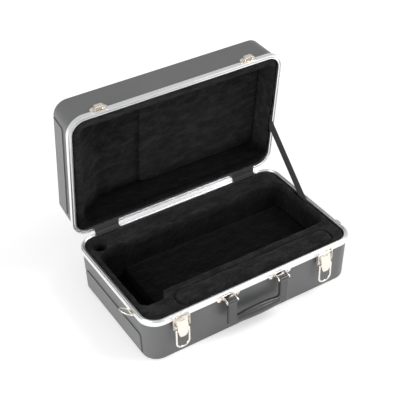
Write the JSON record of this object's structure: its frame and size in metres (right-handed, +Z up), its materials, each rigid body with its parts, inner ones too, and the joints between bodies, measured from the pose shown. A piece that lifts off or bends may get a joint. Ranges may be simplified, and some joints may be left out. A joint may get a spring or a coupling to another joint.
{
  "type": "cornet case",
  "caption": "Moulded hard case for a cornet, standing open, with a metal rim, plush linings, hinged lid, draw latches, drop handle and strap rings.",
  "frame": {"origin": "centre of the base's underside, on the ground", "axes": "+X to the right along the case's length, +Y to the hinges at the back, +Z up"},
  "size_m": [0.4566, 0.3527, 0.366],
  "materials": {
    "shell_plastic": "fine grain",
    "rim_metal": "satin",
    "plush": "short pile",
    "handle_plastic": "satin",
    "webbing": "woven",
    "tape": "coated cloth",
    "nickel": "nickel plated"
  },
  "bodies": {
    "base": {"base_shell": "shell_plastic", "base_rim": "rim_metal", "base_lining": "plush", "instrument_bed": "plush", "front_bolster": "plush", "left_hinge_base_leaf": "nickel", "right_hinge_base_leaf": "nickel", "hinge_base_rivets": "nickel", "left_hinge_pin": "nickel", "right_hinge_pin": "nickel", "left_hinge_tape": "tape", "right_hinge_tape": "tape", "stay_strap": "webbing", "strap_base_rivet": "nickel", "left_latch_plate": "nickel", "right_latch_plate": "nickel", "left_latch_pin": "nickel", "right_latch_pin": "nickel", "latch_rivets": "nickel", "left_handle_bracket": "nickel", "right_handle_bracket": "nickel", "handle_pins": "nickel", "bracket_rivets": "nickel", "left_ring_tab": "nickel", "right_ring_tab": "nickel", "tab_rivets": "nickel"},
    "lid": {"lid_shell": "shell_plastic", "lid_rim": "rim_metal", "lid_lining": "plush", "lid_panel": "plush", "left_hinge_lid_leaf": "nickel", "right_hinge_lid_leaf": "nickel", "hinge_lid_rivets": "nickel", "left_keeper": "nickel", "right_keeper": "nickel", "keeper_rivets": "nickel", "strap_lid_rivet": "nickel"},
    "handle": {"handle": "handle_plastic"},
    "left_lever": {"left_latch_lever": "nickel"},
    "left_bail": {"left_latch_bail": "nickel"},
    "left_ring": {"left_ring": "nickel"},
    "right_lever": {"right_latch_lever": "nickel"},
    "right_bail": {"right_latch_bail": "nickel"},
    "right_ring": {"right_ring": "nickel"}
  },
  "joints": [
    {"name": "lid_hinge", "type": "hinge", "parent": "base", "child": "lid", "pos_m": [0, 0.1346, 0.0931], "axis": [1, 0, 0], "range_deg": [0, 83.7], "deforming": ["left_hinge_tape", "right_hinge_tape", "stay_strap"]},
    {"name": "handle_swing", "type": "hinge", "parent": "base", "child": "handle", "pos_m": [-0.0057, -0.1432, 0.0807], "axis": [-1, 0, 0], "range_deg": [0, 95]},
    {"name": "left_lever_hinge", "type": "hinge", "parent": "base", "child": "left_lever", "pos_m": [-0.1539, -0.1344, 0.0857], "axis": [-1, 0, 0], "range_deg": [0, 120]},
    {"name": "left_bail_hinge", "type": "hinge", "parent": "left_lever", "child": "left_bail", "pos_m": [-0.1539, -0.1389, 0.0647], "axis": [1, 0, 0], "range_deg": [-178, 0]},
    {"name": "right_lever_hinge", "type": "hinge", "parent": "base", "child": "right_lever", "pos_m": [0.1425, -0.1344, 0.0857], "axis": [-1, 0, 0], "range_deg": [0, 120]},
    {"name": "right_bail_hinge", "type": "hinge", "parent": "right_lever", "child": "right_bail", "pos_m": [0.1425, -0.1389, 0.0647], "axis": [1, 0, 0], "range_deg": [-178, 0]},
    {"name": "left_ring_hinge", "type": "hinge", "parent": "base", "child": "left_ring", "pos_m": [-0.2174, -0.0805, 0.088], "axis": [0, 1, 0], "range_deg": [-128, 22]},
    {"name": "right_ring_hinge", "type": "hinge", "parent": "base", "child": "right_ring", "pos_m": [0.2174, -0.0805, 0.088], "axis": [0, -1, 0], "range_deg": [0, 150]}
  ]
}
